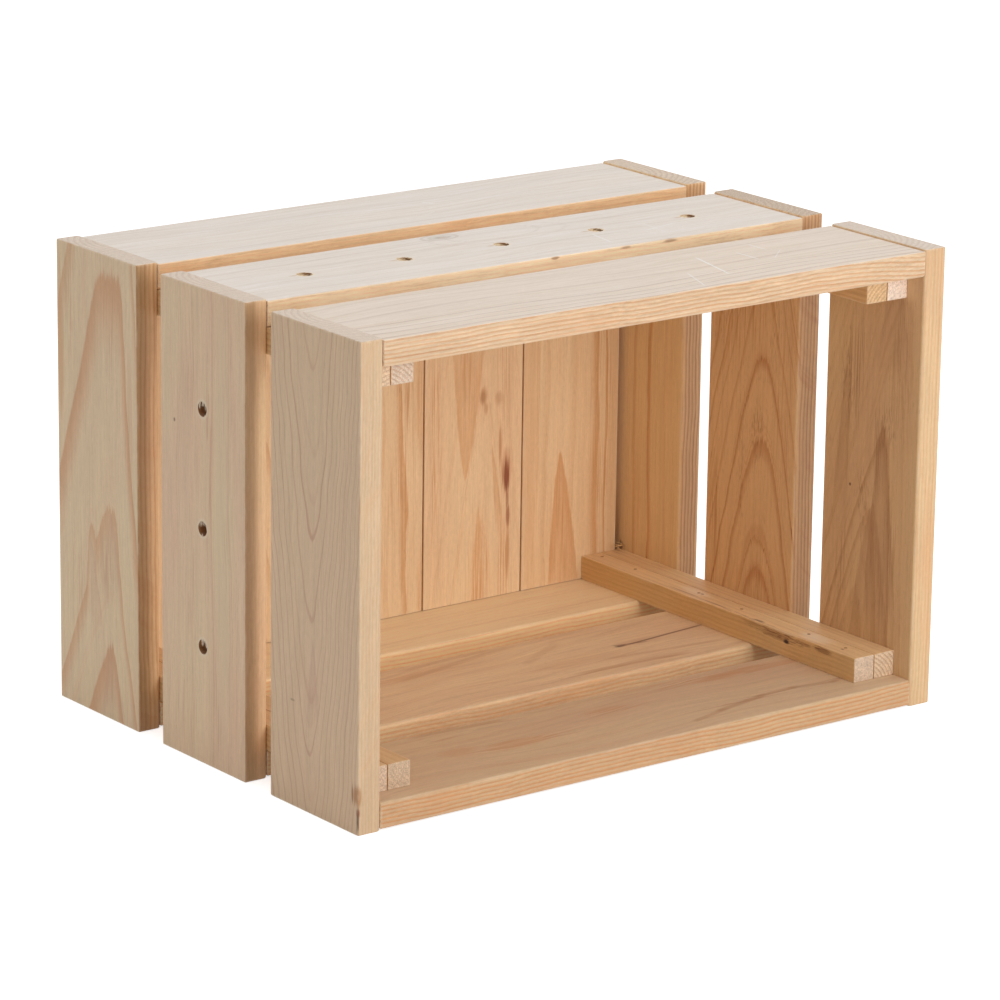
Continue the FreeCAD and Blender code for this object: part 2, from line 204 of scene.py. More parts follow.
# The scale of each noise along, across and through the grain per millimetre, its detail and roughness
textures = {
    "slow": ((1 / 130, 1 / 60, 1 / 60), 1.0, 0.5), "wave": ((1 / 32, 1 / 46, 1 / 46), 1.0, 0.5),
    "fibre": ((1 / 22, 1.2, 1.2), 3.0, 0.7), "flow": ((1.0, 1.0, 1.0), 3.0, 0.6),
    "hair": ((1 / 24, 1.6, 1.6), 3.0, 0.75), "vein": ((1 / 70, 1 / 2.6, 1 / 2.6), 2.0, 0.6),
    "dash": ((1 / 5.5, 1.9, 1.9), 1.0, 0.4), "grit": ((0.3, 0.8, 0.8), 2.0, 0.7),
    "cloud": ((1 / 110, 1 / 24, 1 / 24), 2.0, 0.5), "rubbed": ((1 / 14, 1 / 5, 1 / 5), 2.0, 0.5),
    "pore": ((0.5, 1.3, 1.3), 2.0, 0.8), "fuzz": ((0.2, 0.45, 0.45), 1.0, 0.5),
    "thread": ((1 / 34, 0.75, 0.75), 2.0, 0.5), "combedThread": ((1 / 60, 1.4, 1.4), 2.0, 0.5),
}
# Lengths in millimetres from the middle of the board. A board has arches, when "tips" are their
# places along it, or straight lines, when "straight" is set and "tips" are their places across it.
grainDefaults = {
    "straight": False, "tips": (0.0,), "strengths": (), "outer": 0.6, "step": 60.0, "points": 1,
    "middle": 0.0, "lean": 0.0, "slope": 4.0, "slopeGrow": 0.0, "round": 5.0, "roundGrow": 0.0,
    "blunt": 0.0, "bluntGrow": 0.0, "limbs": (1.0, 1.0), "band": (0.62, 0.93), "thinTips": 0.0,
    "figured": 1, "swing": 2.0, "ripple": 0.6, "jag": 6.0, "late": 0.6, "flow": 0.35,
    "streak": 1.0, "ducts": 0.5, "dust": 0.0, "endDust": 0.0, "warmth": 0.5, "combed": False,
    "earlyColour": (234, 202, 160), "warmColour": None, "lateColour": (204, 148, 96),
    "endColour": (228, 202, 172), "dustColour": (230, 217, 206), "tone": (1.0, 1.0, 1.0),
    "edge": 2.4, "edgeLate": 0.45, "edgeBend": (400.0, 0.0), "edgeTone": (1.0, 1.0, 1.0),
    "edgeLine": (224, 158, 102), "edgeFade": (1.0, 1.0),
    "pith": (12.0, -30.0), "endRings": 0.35, "ring": 3.2, "pores": 1.3,
    "knots": (), "stains": (), "flecks": (), "threads": (), "tongues": (), "marks": (), "holes": (),
    "peaks": (), "rings": (),
}


def localPoint(recipe, node, lay):
    # Millimetres from the middle of a piece, along its grain, across its face and out through it
    axes, outward = lay
    low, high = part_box(node)
    halves = [(high - low)["XYZ".index(axis)] / 2 / mm for axis in axes]
    spot = recipe.add("ShaderNodeTexCoord", output=3)         # its object coordinates
    moved = recipe.vector("SUBTRACT", spot, tuple((low + high) / 2))
    scaled = recipe.vector("MULTIPLY", moved, (1 / mm, 1 / mm, 1 / mm))
    along, across, through = recipe.split(scaled, *axes)
    normals = recipe.split(recipe.add("ShaderNodeNewGeometry", output=1), *axes)
    if outward < 0:
        through = -through
        normals[2] = -normals[2]
    return (along, across, through), halves, normals


class Wood:
    # What varies over one piece: places, faces, growth lines, fine fibres and slow changes of tone
    def __init__(self, recipe, node, lay, grain, seed):
        self.recipe, self.grain, self.seed = recipe, grain, seed
        self.spot, self.halves, normals = localPoint(recipe, node, lay)
        along, across, through = self.spot
        shift = seed * pineLook["seedShift"]
        self.point = recipe.join(along + shift, across + shift, through + shift)
        self.onEnd = abs(normals[0]).above(pineLook["endNormal"])
        self.onFace = abs(normals[2]).above(pineLook["faceNormal"]) * (1 - self.onEnd)
        self.onEdge = 1 - self.onEnd - self.onFace
        self.outerFace = normals[2].step(*fades["outer"])
        slow = self.texture("slow", output=1)
        self.drift = recipe.outputs(recipe.add("ShaderNodeSeparateColor", {}, (slow,)), "Red")[0]
        self.wave, self.fibre = self.texture("wave"), self.texture("fibre")
        swing, ripple = [grain[name] * growth["swingReach"] for name in ("swing", "ripple")]
        self.wander = (self.drift - 0.5) * swing + (self.wave - 0.5) * ripple
        self.bent = self.point
        if not grain["combed"]:                               # fine fibres bend with the figure
            self.bent = recipe.join(along + shift, across + self.wander + shift, through + shift)
        growthLines(self)
        self.hair, self.vein = self.texture("hair", self.bent), self.texture("vein", self.bent)
        self.dash, self.grit = self.texture("dash", self.bent), self.texture("grit")
        self.cloud, self.pore = self.texture("cloud"), self.texture("pore")
        self.duct = self.dash.step(*fades["duct"]) * (0.2 + self.late)
        self.duct = self.duct * (self.onFace * 0.8 + 0.2) * grain["ducts"]
        # A pale cover on outer faces and ends; on the top boards it is partly dust and partly a painted
        # sheen, the whitening that grazing light gives them
        dust = self.outerFace * grain["dust"] + self.onEnd * grain["endDust"]
        cover = dustAndSheenLook["cover"] + self.cloud * dustAndSheenLook["cloudCover"] + self.hair * dustAndSheenLook["hairCover"]
        self.dust = dust * (cover + self.vein * dustAndSheenLook["veinCover"])

    def texture(self, name, point=None, output=0):
        return self.recipe.noise(point or self.point, *textures[name], output=output)

    def near(self, place, size, feather=1.3, fibre=None):
        # Distance from a place in units of its half sizes, with a ragged rim
        squares = [((part - middle) / half).math("POWER", 2.0)
                   for part, middle, half in zip(self.spot, place, size)]
        return sum(squares[1:], squares[0]).math("SQRT") + ((fibre or self.fibre) - 0.5) * feather


def orderedTips(grain):
    direction = 1 if grain["straight"] else grain["points"]
    return [direction * tip for tip in grain["tips"]]


def countYears(wood, reach):
    # Whole numbers at the given tips, evenly spaced with a little chance beyond them
    recipe, step = wood.recipe, wood.grain["step"]
    tips = sorted(orderedTips(wood.grain))
    beyond = (reach - tips[0]).smaller(0.0) + (reach - tips[-1]).larger(0.0)
    chance = recipe.add("ShaderNodeTexNoise", {"noise_dimensions": "1D"}, {
        "W": beyond / (step * growth["chanceStep"]) + wood.seed * growth["chanceSeed"],
        "Scale": 1.0, "Detail": 1.0})
    away = abs(beyond).step(0.0, step)
    years = beyond / step + (chance - 0.5) * away * growth["chance"]
    for low, high in zip(tips, tips[1:]):
        years = years + reach.rise(low, high)
    return years


def yearChance(wood, turns):
    # A number from 0 to 1 for each whole turn
    ports = {"W": turns.math("FLOOR") + wood.seed}
    return wood.recipe.add("ShaderNodeTexWhiteNoise", {"noise_dimensions": "1D"}, ports)


def yearStrength(wood, years):
    grain = wood.grain
    strength = grain["outer"] * (0.5 + yearChance(wood, years) * 0.7)
    if grain["strengths"]:
        given = [value for _, value in sorted(zip(orderedTips(grain), grain["strengths"]))]
        count = len(given)
        stops = [(index / count, value) for index, value in enumerate(given)]
        turn = years.math("FLOOR") + 1.5
        settings = {"interpolation": "CONSTANT", "stops": stops}
        listed = wood.recipe.add("ShaderNodeValToRGB", settings, (turn / count,))
        inside = turn.above(0.0) * (1 - turn.above(count))
        strength = strength * (1 - inside) + listed * inside
    return strength


def archReach(wood, side):
    # Millimetres along the board, less the fall of an arch on either side of its tip
    grain = wood.grain
    along, _, through = wood.spot
    blunt, slope, bend = grain["blunt"], grain["slope"], grain["round"]
    if grain["bluntGrow"]:
        blunt = (along * grain["bluntGrow"] + blunt).larger(growth["leastBlunt"])
    if grain["slopeGrow"]:
        slope = (along * grain["slopeGrow"] + slope).larger(growth["leastSlope"])
    if grain["roundGrow"]:
        bend = (along * grain["roundGrow"] + bend).larger(growth["leastRound"])
    plus, minus = grain["limbs"]
    side = (side - blunt).larger(0.0) * plus + (-side - blunt).larger(0.0) * minus
    root = (side * side + bend * bend).math("SQRT")
    steep = side / root                                       # 0 at the tips and 1 on the limbs
    torn = (1 - steep * growth["calmLimbs"]) * (grain["jag"] * growth["swingReach"])
    reach = along * grain["points"] + (root - bend) * slope + (wood.fibre - 0.5) * torn
    for place, size, height in grain["peaks"]:
        reach = reach - wood.near(place, size, 0.3).step(1.0, 0.0) * height
    sawn = grain["slope"] * grain["figured"] * growth["sawn"]  # arches move as the saw goes deeper
    return reach + (wood.halves[2] * grain["figured"] - through) * sawn, steep


def growthLines(wood):
    # How dark the late wood is, on the broad faces, the narrow edges and the sawn ends
    recipe, grain, seed = wood.recipe, wood.grain, wood.seed
    along, across, through = wood.spot
    side = across + wood.wander - grain["middle"]
    if grain["lean"]:
        side = side - along * grain["lean"]
    if grain["straight"]:
        reach = side + (wood.fibre - 0.5) * growth["lineRagged"] + through * growth["lineSlant"]
    else:
        reach, steep = archReach(wood, side)
    years = countYears(wood, reach)

    bend = (along - grain["edgeBend"][0]).larger(0.0) * grain["edgeBend"][1]
    bend = bend + (wood.wave - 0.5) * growth["edgeWave"] + (wood.drift - 0.5) * growth["edgeDrift"]
    edgeYears = (through + bend) / grain["edge"] + (wood.fibre - 0.5) * growth["edgeRagged"] + seed
    offset, rise = across - grain["pith"][0], through - grain["pith"][1]
    endYears = (offset * offset + rise * rise).math("SQRT") / grain["ring"] + seed

    turns = years * wood.onFace + edgeYears * wood.onEdge + endYears * wood.onEnd
    low, full = grain["band"]
    if grain["thinTips"]:
        low = low + (1 - steep) * ((full - low) * grain["thinTips"])
    part = turns.math("FRACT")
    start, whole = growth["edgeBand"]
    late = part.step(wood.onFace * (low - start) + start, wood.onFace * (full - whole) + whole)
    late = late * part.step(*growth["close"])
    strength = yearStrength(wood, years) * wood.onFace * grain["late"]
    strength = strength + wood.onEdge * (0.55 + yearChance(wood, turns) * 0.45) * grain["edgeLate"]
    wood.late = late * (strength + wood.onEnd * grain["endRings"])
    paced = years * (grain["step"] / (8 if grain["straight"] else 14))
    wood.flow = wood.texture("flow", recipe.join(paced, along * growth["flowAlong"], seed))


def tongue(wood, tip, shape):
    # A flame of late wood: 0 outside it, 1 on its rim and less inside, from its tip to where it fades
    length, halfWide, lean, ragged = shape
    forward, sideways = wood.spot[0] - tip[0], wood.spot[1] - tip[1]
    run = forward / length
    aside = abs(sideways - forward * lean + (wood.fibre - 0.5) * ragged)
    inside = run.larger(0.0).math("POWER", 0.65) * halfWide - aside
    body = inside.step(-0.2, 0.9) * (0.62 + inside.step(halfWide * 0.45, 0.6) * 0.38) * run.above(0.0)
    return body * run.step(1.0, 0.55)


def lineMark(wood, start, end, halfWide):
    # 1 on a thin line between two places
    run = (end[0] - start[0], end[1] - start[1])
    length = math.hypot(*run)
    forward, sideways = wood.spot[0] - start[0], wood.spot[1] + (wood.fibre - 0.5) * 0.8 - start[1]
    gone = forward * (run[0] / length) + sideways * (run[1] / length)
    aside = abs(forward * (run[1] / length) - sideways * (run[0] / length))
    ends = gone.step(0.0, length * 0.15) * gone.step(length, length * 0.8)
    return aside.step(halfWide, halfWide * 0.3) * ends


def blots(wood, colour, marks, maskOf):
    # Lays each mark's tint over a colour, within the mask of its shape
    for *shape, strength, tint in marks:
        colour = wood.recipe.mix(maskOf(*shape) * strength, colour, paint(*tint))
    return colour


def redder(tone, look):
    # Red, green and blue of a tone, which turns redder as it darkens
    return [tone * share - (share - 1) for share in look["redder"]]


def boardColour(wood):
    # Early and late wood, tongues, fine streaks, resin ducts, flecks and threads
    recipe, grain, look = wood.recipe, wood.grain, pineLook
    early, warm = paint(*grain["earlyColour"]), paint(*(grain["warmColour"] or grain["earlyColour"]))
    colour = recipe.mix(wood.cloud.step(*fades["warm"]) * grain["warmth"], early, warm)
    lateTone = recipe.mix(wood.onEdge, paint(*grain["lateColour"]), paint(*grain["edgeLine"]))
    colour = recipe.mix(wood.late, colour, lateTone)
    flowing = wood.flow.step(*fades["flow"]) * (1 - wood.onEnd) * grain["flow"]
    colour = recipe.mix(flowing, colour, lateTone)
    colour = blots(wood, colour, grain["tongues"], lambda tip, shape: (
        tongue(wood, tip, shape) * (0.55 + wood.flow * 0.6) * wood.onFace))

    streak = grain["streak"]
    tone = 1 + (wood.hair - 0.5) * (look["hairTone"] * streak)
    tone = tone + (wood.vein - 0.5) * (look["veinTone"] * streak)
    tone = tone + (wood.flow - 0.5) * look["flowTone"] + (wood.grit - 0.5) * look["gritTone"]
    # Painted shade and painted light across the narrow edges: darker on the outer side, lighter on the
    # inner side where light from inside the box falls
    if grain["edgeFade"] != (1.0, 1.0):
        outer, inner = grain["edgeFade"]
        paintedShadeAndLight = wood.spot[2].step(*fades["edge"]) * (outer - inner) + (inner - 1)
        tone = tone * (wood.onEdge * paintedShadeAndLight + 1)
    # The edge tone lightens or darkens each board's narrow edges: partly their own colour, partly painted
    # light and painted shade for how much light reaches them
    parts = [part * (wood.onEdge * (edge / whole - 1) + 1) * whole if edge != whole else part * whole
             for part, whole, edge in zip(redder(tone, look), grain["tone"], grain["edgeTone"])]
    colour = recipe.tinted(colour, *parts)
    colour = recipe.mix(wood.duct * look["ductShare"], colour, paint(*look["duct"]))
    if grain["flecks"]:
        short = wood.dash.step(*fades["fleck"]) * (1 - wood.onEnd)  # dashes of resin within a patch
        colour = blots(wood, colour, grain["flecks"], lambda place, size: (
            wood.near(place, size).step(*fades["patch"]) * short))
    if grain["threads"]:
        name = "combedThread" if grain["combed"] else "thread"
        long = wood.texture(name, wood.bent).step(*fades["thread"]) * wood.onFace
        colour = blots(wood, colour, grain["threads"], lambda place, size: (
            wood.near(place, size).step(*fades["patch"]) * long))
    return colour


def sawnEnd(wood):
    # Open pores and saw fuzz over the rings
    speckle = 1 + (wood.pore - 0.5) * wood.grain["pores"]
    speckle = speckle + (wood.texture("fuzz") - 0.5) * pineLook["fuzzTone"]
    rings = wood.recipe.mix(wood.late, paint(*wood.grain["endColour"]), paint(*pineLook["endLate"]))
    return wood.recipe.tinted(rings, speckle)


# Colour of the pale cover: lying dust, and on the top boards also a painted sheen
def lyingDustAndSheen(wood):
    look = dustAndSheenLook
    tone = 1 + (wood.hair - 0.5) * look["hairTone"] + (wood.vein - 0.5) * look["veinTone"]
    tone = tone + (wood.flow - 0.5) * look["flowTone"] - wood.late * look["lateTone"]
    tone = tone + (wood.grit - 0.5) * look["gritTone"]
    return wood.recipe.tinted(paint(*wood.grain["dustColour"]), *redder(tone, look))


def marked(wood, colour):
    # Knots, stains, scratched lines, faint rings and the worn rims of dowel holes; on one batten the stains
    # also hold painted highlights and a hole's painted shade
    grain, onFace = wood.grain, wood.onFace
    colour = blots(wood, colour, grain["knots"], lambda place, size: (
        wood.near(place, size, 0.9).step(*fades["knot"]) * onFace))
    colour = blots(wood, colour, grain["stains"], lambda place, size: (
        wood.near(place, size).step(*fades["stain"]) * (1 - wood.onEnd)))
    colour = blots(wood, colour, grain["marks"], lambda start, end, halfWide: (
        lineMark(wood, start, end, halfWide) * onFace))
    colour = blots(wood, colour, grain["rings"], lambda place, size, width: (
        abs(wood.near(place, size, 0.35) - 1).step(width, width * 0.2) * onFace))
    look = pineLook
    for place in grain["holes"]:
        distance = wood.near(place, look["rim"], 0.6, wood.hair)
        rim = distance.step(*fades["rim"]) * wood.outerFace * look["rimShare"]
        colour = wood.recipe.mix(rim, colour, paint(*look["worn"]))
        inside = distance.step(*fades["bore"]) * (1 - onFace) * look["boreShare"]
        colour = wood.recipe.mix(inside, colour, paint(*look["bore"]))
    return colour


def wornAndHighlitArrises(wood, colour):
    # Paler arrises, where two faces of the piece meet: partly wear, partly a painted highlight on the edges
    gaps = [half - abs(part) for half, part in zip(wood.halves, wood.spot)]
    nearEdge = gaps[0].smaller(gaps[1]).larger(gaps[0].larger(gaps[1]).smaller(gaps[2]))
    wearAndHighlight = nearEdge.step(*fades["arris"]) * wood.texture("rubbed").step(*fades["rubbed"])
    return wood.recipe.mix(wearAndHighlight * pineLook["arrisWearAndHighlightShare"], colour, paint(*pineLook["worn"]))


def pine(node, lay, grain, seed):
    look = pineLook
    recipe = newRecipe("pine_" + node)
    wood = Wood(recipe, node, lay, grainDefaults | grain, seed)
    colour = recipe.mix(wood.onEnd, boardColour(wood), sawnEnd(wood))
    colour = recipe.mix(wood.dust, colour, lyingDustAndSheen(wood))
    colour = wornAndHighlitArrises(wood, marked(wood, colour))
    roughness = look["roughness"] + (wood.hair - 0.5) * look["hairRough"] - wood.late * look["lateSmooth"]
    roughness = roughness + wood.onEnd * look["endRough"] + wood.dust * look["dustRough"]
    height = wood.hair * look["hairHigh"] + wood.late * look["lateHigh"] - wood.duct * look["ductDeep"]
    height = height + wood.onEnd * wood.pore * look["poreHigh"] + wood.vein * look["veinHigh"]
    normal = recipe.add("ShaderNodeBump", {}, {
        "Height": height, "Strength": look["bump"], "Distance": look["bumpDepth"]})
    shader = recipe.add("ShaderNodeBsdfPrincipled", {}, {
        "Base Color": colour, "Roughness": roughness, "Normal": normal, "IOR": look["refraction"],
        "Sheen Weight": look["sheen"], "Sheen Roughness": look["sheenRoughness"]})
    return recipe.surface(shader)


lays = {  # axes along, across and through the piece, and the sign of its outer face
    "left_board": ("ZYX", -1), "right_board": ("ZYX", 1), "top_board": ("XYZ", 1),
    "bottom_board": ("XYZ", -1), "back_board": ("ZXY", -1), "back_rail": ("XZY", 1),
    "left_batten": ("YXZ", 1), "right_batten": ("YXZ", 1), "top_batten": ("YXZ", 1),
    "bottom_batten": ("YXZ", 1), "corner_pins": ("XYZ", 1),
}
dowelPitch = 64
leftHoles = tuple(dowelPitch * step for step in (-1, 0, 1))
topHoles = tuple(dowelPitch * step for step in (-2, -1, 0, 1, 2))
honey, amber, umber, cocoa = (244, 212, 170), (214, 154, 96), (118, 64, 42), (150, 96, 54)
chalk, chalkDustAndSheen = (252, 249, 244), (237, 226, 216)
woods = {}
woods["left_board_rear"] = {
    "tips": (215, 120, -9, -85), "strengths": (0.7, 1.0, 0.8, 1.0), "step": 90, "middle": -13,
    "slope": 2.75, "slopeGrow": 0.004, "round": 6, "blunt": 3.5, "bluntGrow": 0.05, "limbs": (1.0, 2.5),
    "band": (0.6, 0.97), "jag": 5, "late": 0.85, "earlyColour": (238, 210, 168),
    "warmColour": (236, 200, 162), "lateColour": (217, 156, 102), "dust": 0.05, "ducts": 0.15, "flow": 0.3,
    "edge": 2.8, "endDust": 0.5, "edgeTone": (0.82, 0.72, 0.62), "edgeFade": (0.84, 1.15),
    "edgeLine": (196, 124, 70), "edgeLate": 0.45, "swing": 1.4, "peaks": (((-38, 7), (40, 6), 30),),
    "tongues": (
        ((-12, -13), (-56, 11, 0.02, 3.0), 0.5, (212, 164, 128)),
        ((-30, 7), (-60, 7, 0.12, 2.0), 0.55, (214, 168, 130)),
        ((-88, -12), (-44, 13, 0.06, 2.5), 0.45, (212, 164, 128)),
        ((122, 36), (-80, 6, 0.0, 3.0), 0.45, (210, 158, 112)),
        ((128, 12), (-50, 3, 0.0, 3.0), 0.35, (214, 166, 122))),
    "stains": (((63, 36), (40, 4), 0.6, (222, 168, 112)), ((40, -32), (45, 3), 0.3, (208, 160, 116))),
    "threads": (
        ((92, -14), (34, 10), 0.5, (206, 150, 102)), ((-44, -8), (30, 9), 0.5, (206, 152, 106)),
        ((-104, -12), (20, 8), 0.5, (206, 150, 104)), ((96, 24), (40, 9), 0.45, (208, 154, 106)),
        ((-60, 20), (40, 9), 0.4, (208, 156, 112)))}
woods["left_board_middle"] = {
    "straight": True, "tips": (-22, -7, 12), "strengths": (0.6, 0.8, 0.3), "step": 14, "late": 0.45,
    "outer": 0.35, "band": (0.88, 0.95), "earlyColour": (238, 207, 165), "warmColour": (236, 194, 157),
    "lateColour": (214, 152, 112), "dust": 0.08, "ducts": 0.5, "endDust": 0.5, "streak": 1.1,
    "warmth": 0.8, "edgeTone": (0.87, 0.82, 0.75), "edgeFade": (0.79, 1.2), "edgeLate": 0.15,
    "knots": (((53, 26), (1.3, 1.1), 0.8, umber),), "holes": tuple((place, 0) for place in leftHoles),
    "stains": (((0, -19), (150, 9), 0.3, (228, 210, 170)),),
    "threads": (
        ((20, -24), (110, 9), 0.45, (206, 148, 108)), ((30, -6), (80, 4), 0.55, (208, 144, 104)),
        ((90, 12), (40, 8), 0.4, (210, 156, 116)), ((-40, 10), (50, 6), 0.35, (210, 156, 118)),
        ((-104, 14), (24, 12), 0.4, (208, 152, 110)), ((-90, -14), (36, 6), 0.5, (206, 148, 108)))}
woods["left_board_front"] = {
    "tips": (104, 60, 16, -27, -70, -98), "strengths": (0.5, 0.3, 1.0, 0.75, 0.45, 0.9), "points": -1,
    "middle": 2, "slope": 9.5, "round": 14, "limbs": (0.95, 1.25), "step": 40, "band": (0.66, 0.93),
    "thinTips": 0.75, "jag": 0.9, "ripple": 1.3, "swing": 1.5, "late": 0.75, "outer": 0.85,
    "earlyColour": (231, 197, 156), "warmColour": (227, 188, 152), "lateColour": (204, 148, 110),
    "dust": 0.08, "ducts": 0.15, "edge": 2.0, "edgeTone": (0.88, 0.92, 0.95), "edgeLate": 0.3,
    "endDust": 0.5, "tone": (0.97, 0.98, 0.985),
    "tongues": (((-34, 1), (-52, 6, 0.0, 2.0), 0.5, (204, 154, 126)),),
    "stains": (
        ((-107, -39, 7), (7, 5.5, 2.4), 0.8, (172, 108, 48)),
        ((-107, -34, 7), (6, 0.9, 2.0), 0.7, (136, 72, 16)),
        ((-116, -39, 7), (3, 2.2, 1.4), 0.85, (160, 72, 28)),
        ((-120, -39, 7), (9, 1.5, 0.9), 0.95, (86, 40, 8)), ((-71, 19), (0.8, 2.4), 0.6, (150, 120, 84)))}
woods["right_board_rear"] = {
    "straight": True, "tips": (-10, 3), "strengths": (1.0, 0.6), "step": 14, "late": 0.62, "outer": 0.4,
    "band": (0.7, 0.93), "earlyColour": (240, 202, 152), "lateColour": (206, 136, 78), "flow": 0.25,
    "figured": -1, "tone": (0.98, 1.02, 1.04), "combed": True, "endDust": 0.3, "edgeLine": (180, 112, 78),
    "edgeLate": 0.75, "edgeTone": (0.98, 0.92, 0.88),
    "threads": (((30, -8.5), (80, 3.5), 0.5, (194, 124, 66)),),
    "stains": (((-97, 14), (3.4, 2.2), 0.75, (84, 52, 34)),)}
woods["right_board_middle"] = {
    "tips": (92, 43, 6, -4, -63, -80), "strengths": (0.5, 0.9, 0.3, 0.8, 0.8, 0.7), "step": 40,
    "middle": -8, "slope": 5.3, "round": 10.0, "roundGrow": -0.05, "blunt": 1.5, "band": (0.7, 0.96),
    "jag": 4.4, "late": 0.74, "outer": 0.6, "ducts": 1.5, "earlyColour": (236, 196, 147),
    "lateColour": (190, 118, 62), "flow": 0.5, "ripple": 0.9, "figured": -1, "combed": True,
    "tone": (0.97, 0.96, 0.94), "edgeTone": (0.92, 0.86, 0.82), "edgeLine": (180, 112, 78),
    "edgeLate": 0.75, "endDust": 0.1, "pores": 2.4, "endColour": (206, 182, 156),
    "flecks": (
        ((-4, -5), (20, 7), 0.55, cocoa), ((-20, 8), (44, 4), 0.35, cocoa),
        ((60, -18), (34, 6), 0.3, cocoa), ((64, 28), (30, 6), 0.3, cocoa)),
    "threads": (
        ((-70, 30), (40, 6), 0.6, (184, 112, 60)), ((20, -28), (60, 8), 0.5, (184, 112, 60)),
        ((70, 10), (40, 30), 0.45, (184, 112, 60)), ((-90, -8), (24, 10), 0.5, (184, 112, 60)))}
woods["right_board_front"] = {
    "tips": (25, -23, -70), "strengths": (0.9, 0.8, 0.5), "step": 60, "middle": -4, "lean": -0.2,
    "slope": 5.0, "round": 7, "limbs": (1.5, 0.9), "band": (0.5, 0.95), "jag": 7, "late": 0.48,
    "outer": 0.3, "ducts": 1.5, "streak": 0.8, "earlyColour": (232, 196, 150),
    "warmColour": (224, 184, 142), "lateColour": (180, 124, 78), "flow": 0.4, "endDust": 0.6,
    "figured": -1, "tone": (0.945, 0.945, 0.91), "edgeTone": (0.97, 0.99, 1.0), "warmth": 0.9,
    "combed": True, "edgeLate": 0.5, "knots": (((-14, 16), (1.1, 1.1), 0.9, (90, 56, 40)),),
    "tongues": (
        ((28, -9), (-130, 15, 0.02, 5.0), 0.6, (176, 124, 88)),
        ((-20, -3), (-100, 19, 0.0, 5.0), 0.45, (176, 124, 88)),
        ((78, 19), (-130, 7, -0.05, 5.0), 0.5, (170, 122, 76)),
        ((124, -16), (-80, 15, 0.0, 6.0), 0.4, (184, 132, 102))),
    "flecks": (
        ((44, 20), (26, 7), 0.45, (146, 100, 64)), ((22, -12), (18, 10), 0.45, (146, 100, 64)),
        ((-18, 6), (16, 7), 0.45, (146, 100, 64))),
    "threads": (
        ((60, -22), (50, 9), 0.6, (158, 108, 68)), ((-60, 22), (40, 6), 0.5, (158, 108, 68)),
        ((-50, -16), (40, 10), 0.5, (158, 108, 68)), ((50, 14), (40, 10), 0.5, (150, 102, 68)),
        ((10, -6), (30, 8), 0.5, (150, 102, 68)))}
# The top boards' heavy pale cover is partly dust and partly a painted sheen from grazing light
woods["top_board_rear"] = {
    "straight": True, "tips": (-24, -8, 22), "step": 16, "swing": 5, "dust": 0.88, "late": 0.5,
    "dustColour": chalkDustAndSheen, "earlyColour": honey, "streak": 1.8, "edgeTone": (1.09, 1.05, 1.02),
    "edgeLate": 0.25,
    "marks": (
        ((27, 9), (31, 1), 0.9, 0.7, chalk), ((14, 14), (22, -2), 0.5, 0.4, chalk),
        ((8, -20), (20, -14), 0.5, 0.4, chalk))}
woods["top_board_middle"] = {
    "straight": True, "tips": (-26, -8, 14), "step": 14, "swing": 5, "dust": 0.88, "late": 0.5,
    "dustColour": chalkDustAndSheen, "earlyColour": honey, "streak": 1.8, "edgeTone": (1.13, 1.22, 1.32),
    "edgeLate": 0.25,
    "rings": (
        ((-18, 32), (11, 6), 0.16, 0.4, (188, 160, 140)),
        ((-18, 32), (6.5, 3.4), 0.2, 0.35, (196, 166, 144)),
        ((12, 24), (30, 12), 0.06, 0.3, (204, 184, 168)),
        ((14, 22), (44, 17), 0.05, 0.25, (204, 184, 168))),
    "knots": (
        ((-18, 32), (10, 5.5), 0.35, (168, 174, 156)), ((-17, 31), (5, 2.6), 0.5, (200, 160, 132)),
        ((-19, 32), (2.4, 1.4), 0.4, (150, 130, 110))),
    "holes": tuple((place, 0) for place in topHoles),
    "stains": (
        ((6, -39, 6), (3, 2, 1.0), 0.7, (150, 100, 70)), ((54, -39, 6), (4, 2, 1.0), 0.6, (160, 110, 76)),
        ((84, -39, 6), (6, 2, 1.2), 0.7, (150, 104, 72))) + tuple(
            mark for place in topHoles for mark in (
                ((place - 6.6, 0.2), (3.6, 1.3), 0.6, (206, 170, 132)),
                ((place + 0.5, -4.9), (2.8, 0.8), 0.7, (250, 242, 218)))),
    "marks": (
        ((84, -16), (114, -9), 0.6, 0.6, chalk), ((92, 2), (98, -14), 0.6, 0.5, chalk),
        ((56, -6), (52, -30), 0.9, 0.6, chalk), ((92, -30), (96, 4), 0.5, 0.35, chalk),
        ((4, -20), (12, -14), 0.5, 0.4, chalk))}
woods["top_board_front"] = {
    "straight": True, "tips": (-33, -26, -19, -11, 6), "strengths": (0.8, 1.0, 0.8, 1.0, 0.5), "step": 12,
    "swing": 5, "dust": 0.7, "late": 1.0, "outer": 0.3, "band": (0.75, 0.94), "earlyColour": honey,
    "lateColour": (196, 142, 98), "edge": 2.3, "edgeLate": 0.75, "edgeBend": (120.0, 0.06),
    "edgeTone": (0.85, 0.84, 0.88), "streak": 1.8,
    "marks": (
        ((67, 21), (56, -24), 0.7, 0.9, chalk), ((92, 17), (92, -4), 0.6, 0.7, chalk),
        ((110, 29), (110, 11), 0.6, 0.6, chalk), ((40, -6), (28, -37), 0.6, 0.6, chalk),
        ((100, -6), (118, 10), 0.5, 0.4, chalk), ((130, 6), (150, 12), 0.4, 0.35, chalk))}
# The floor boards' tones run darker at the front and paler at the rear: partly their own colour, partly
# painted light for the rear's brighter light
woods["bottom_board_rear"] = {
    "straight": True, "tips": (-24, 0, 18), "step": 16, "late": 0.25, "earlyColour": (248, 216, 172),
    "warmColour": (246, 209, 164), "streak": 1.1, "tone": (1.08, 1.17, 1.22), "edgeLate": 0.5,
    "edgeLine": (226, 148, 84), "edgeTone": (1.13, 1.15, 1.1)}
